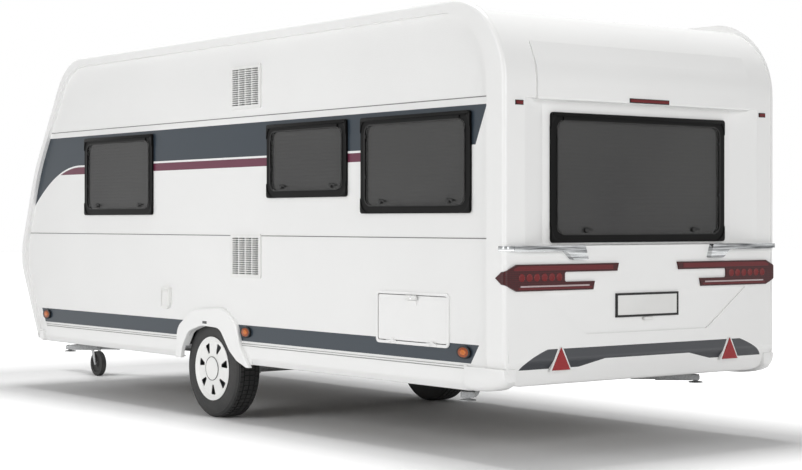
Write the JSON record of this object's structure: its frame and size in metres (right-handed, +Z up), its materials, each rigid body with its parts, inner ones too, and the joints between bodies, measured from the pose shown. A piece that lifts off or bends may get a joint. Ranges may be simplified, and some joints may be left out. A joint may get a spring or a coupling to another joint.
{
  "type": "travel caravan",
  "caption": "Single-axle travel caravan with sandwich cabin, tinted windows, side door, gas locker lid, overrun drawbar, jockey wheel and corner steadies.",
  "frame": {"origin": "middle of the whole outline on the ground", "axes": "+X the way it travels, +Y its left side, +Z up"},
  "size_m": [7.47, 2.3106, 2.7243],
  "materials": {
    "axle_tube": "satin",
    "chassis_rails": "satin",
    "coupling_head": "satin",
    "cross_members": "satin",
    "door_frame": "satin",
    "door_window_frame": "satin",
    "door_window_pane": "gloss",
    "drawbar_arms": "satin",
    "edge_mouldings": "gloss",
    "entrance_door": "gloss",
    "floor_panel": "satin",
    "fridge_grilles": "satin",
    "front_wall": "gloss",
    "grab_handles": "gloss",
    "handbrake_lever": "satin",
    "jockey_fork": "satin",
    "jockey_inner_tube": "satin",
    "jockey_outer_tube": "satin",
    "jockey_wheel": "satin",
    "locker_bulkhead": "satin",
    "locker_lid": "gloss",
    "marker_lamps": "gloss",
    "number_plate": "satin",
    "overrun_housing": "satin",
    "power_inlet": "satin",
    "rear_bumper": "gloss",
    "rear_reflectors": "gloss",
    "rear_wall": "gloss",
    "roof_hatch_frames": "satin",
    "roof_hatch_lid": "gloss",
    "roof_panel": "gloss",
    "service_flap": "gloss",
    "service_flap_frame": "satin",
    "side_markers": "gloss",
    "side_wall_left": "gloss",
    "side_wall_right": "gloss",
    "sill_profiles": "satin",
    "steady_brackets": "satin",
    "steady_leg": "satin",
    "swing_arms": "satin",
    "tail_lamps": "gloss",
    "wheel_arches": "gloss",
    "wheel_boxes": "satin",
    "wheel_rim": "satin",
    "wheel_trim": "gloss",
    "wheel_tyre": "satin",
    "window_blinds": "satin",
    "window_frames": "satin",
    "window_panes": "gloss"
  },
  "bodies": {
    "caravan": {"axle_tube": "axle_tube", "chassis_rails": "chassis_rails", "coupling_head": "coupling_head", "cross_members": "cross_members", "door_frame": "door_frame", "drawbar_arms": "drawbar_arms", "edge_mouldings": "edge_mouldings", "floor_panel": "floor_panel", "fridge_grilles": "fridge_grilles", "front_wall": "front_wall", "grab_handles": "grab_handles", "jockey_outer_tube": "jockey_outer_tube", "locker_bulkhead": "locker_bulkhead", "marker_lamps": "marker_lamps", "number_plate": "number_plate", "overrun_housing": "overrun_housing", "power_inlet": "power_inlet", "rear_bumper": "rear_bumper", "rear_reflectors": "rear_reflectors", "rear_wall": "rear_wall", "roof_hatch_frames": "roof_hatch_frames", "roof_panel": "roof_panel", "service_flap_frame": "service_flap_frame", "side_markers": "side_markers", "side_wall_left": "side_wall_left", "side_wall_right": "side_wall_right", "sill_profiles": "sill_profiles", "steady_brackets": "steady_brackets", "swing_arms": "swing_arms", "tail_lamps": "tail_lamps", "wheel_arches": "wheel_arches", "wheel_boxes": "wheel_boxes", "window_blinds": "window_blinds", "window_frames": "window_frames", "window_panes": "window_panes"},
    "wheel_left": {"wheel_tyre_left": "wheel_tyre", "wheel_rim_left": "wheel_rim", "wheel_trim_left": "wheel_trim"},
    "wheel_right": {"wheel_tyre_right": "wheel_tyre", "wheel_rim_right": "wheel_rim", "wheel_trim_right": "wheel_trim"},
    "entrance_door": {"entrance_door": "entrance_door", "door_window_frame": "door_window_frame", "door_window_pane": "door_window_pane"},
    "service_flap": {"service_flap": "service_flap"},
    "locker_lid": {"locker_lid": "locker_lid"},
    "handbrake_lever": {"handbrake_lever": "handbrake_lever"},
    "jockey_inner": {"jockey_inner_tube": "jockey_inner_tube"},
    "jockey_fork": {"jockey_fork": "jockey_fork"},
    "jockey_wheel": {"jockey_wheel": "jockey_wheel"},
    "steady_leg_rear_left": {"steady_leg_rear_left": "steady_leg"},
    "steady_leg_rear_right": {"steady_leg_rear_right": "steady_leg"},
    "steady_leg_front_left": {"steady_leg_front_left": "steady_leg"},
    "steady_leg_front_right": {"steady_leg_front_right": "steady_leg"},
    "roof_hatch_lid_large": {"roof_hatch_lid_large": "roof_hatch_lid"},
    "roof_hatch_lid_small": {"roof_hatch_lid_small": "roof_hatch_lid"}
  },
  "joints": [
    {"name": "wheel_left_spin", "type": "hinge", "parent": "caravan", "child": "wheel_left", "pos_m": [-0.415, 0.977, 0.35], "axis": [0, 1, 0], "continuous": true},
    {"name": "wheel_right_spin", "type": "hinge", "parent": "caravan", "child": "wheel_right", "pos_m": [-0.415, -0.977, 0.35], "axis": [0, 1, 0], "continuous": true},
    {"name": "entrance_door_swing", "type": "hinge", "parent": "caravan", "child": "entrance_door", "pos_m": [-1.107, -1.137, 1.4], "axis": [0, 0, 1], "range_deg": [0, 165]},
    {"name": "service_flap_swing", "type": "hinge", "parent": "caravan", "child": "service_flap", "pos_m": [-2.815, 1.1353, 0.671], "axis": [-1, 0, 0], "range_deg": [0, 150]},
    {"name": "locker_lid_lift", "type": "hinge", "parent": "caravan", "child": "locker_lid", "pos_m": [2.54292, 0, 1.1825], "axis": [0, -1, 0], "range_deg": [0, 85]},
    {"name": "handbrake_pull", "type": "hinge", "parent": "caravan", "child": "handbrake_lever", "pos_m": [2.985, -0.072, 0.48], "axis": [0, -1, 0], "range_deg": [0, 65]},
    {"name": "jockey_jack", "type": "slide", "parent": "caravan", "child": "jockey_inner", "axis": [0, 0, 1], "range_m": [0, 0.11]},
    {"name": "jockey_swivel", "type": "hinge", "parent": "jockey_inner", "child": "jockey_fork", "pos_m": [3.225, 0.096, 0.25], "axis": [0, 0, 1], "continuous": true},
    {"name": "jockey_roll", "type": "hinge", "parent": "jockey_fork", "child": "jockey_wheel", "pos_m": [3.163, 0.096, 0.112], "axis": [0, 1, 0], "continuous": true},
    {"name": "steady_rear_left", "type": "hinge", "parent": "caravan", "child": "steady_leg_rear_left", "pos_m": [-2.885, 0.69, 0.372], "axis": [-0.7071, -0.7071, 0], "range_deg": [0, 52]},
    {"name": "steady_rear_right", "type": "hinge", "parent": "caravan", "child": "steady_leg_rear_right", "pos_m": [-2.885, -0.69, 0.372], "axis": [0.7071, -0.7071, 0], "range_deg": [0, 52]},
    {"name": "steady_front_left", "type": "hinge", "parent": "caravan", "child": "steady_leg_front_left", "pos_m": [1.605, 0.73, 0.372], "axis": [-0.7071, 0.7071, 0], "range_deg": [0, 52]},
    {"name": "steady_front_right", "type": "hinge", "parent": "caravan", "child": "steady_leg_front_right", "pos_m": [1.605, -0.73, 0.372], "axis": [0.7071, 0.7071, 0], "range_deg": [0, 52]},
    {"name": "roof_hatch_large", "type": "hinge", "parent": "caravan", "child": "roof_hatch_lid_large", "pos_m": [0.5533, 0, 2.6963], "axis": [0, 1, 0], "range_deg": [0, 60]},
    {"name": "roof_hatch_small", "type": "hinge", "parent": "caravan", "child": "roof_hatch_lid_small", "pos_m": [-2.0967, 0, 2.6963], "axis": [0, 1, 0], "range_deg": [0, 60]}
  ]
}
